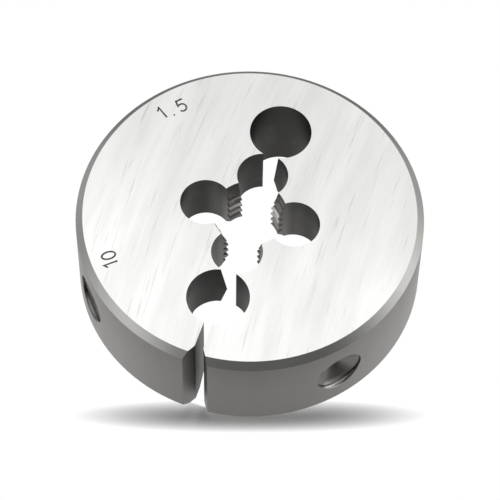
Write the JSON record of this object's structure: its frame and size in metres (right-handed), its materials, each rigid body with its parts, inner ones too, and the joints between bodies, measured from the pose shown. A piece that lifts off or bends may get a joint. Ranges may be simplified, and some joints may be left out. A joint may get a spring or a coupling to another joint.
{
  "type": "round threading die",
  "caption": "Round split threading die: a steel disc with a threaded bore, chip flutes, relief holes and an adjusting slot.",
  "frame": {"origin": "on the bore axis, in the plane of the back face", "axes": "+Z along the bore axis, from the back face to the marked lead face; -Y through the adjusting slot"},
  "size_m": [0.05, 0.0499, 0.016],
  "materials": {
    "tool_steel": "ground faces, satin turned rim"
  },
  "bodies": {
    "root": {"die_body": "tool_steel"}
  },
  "joints": []
}
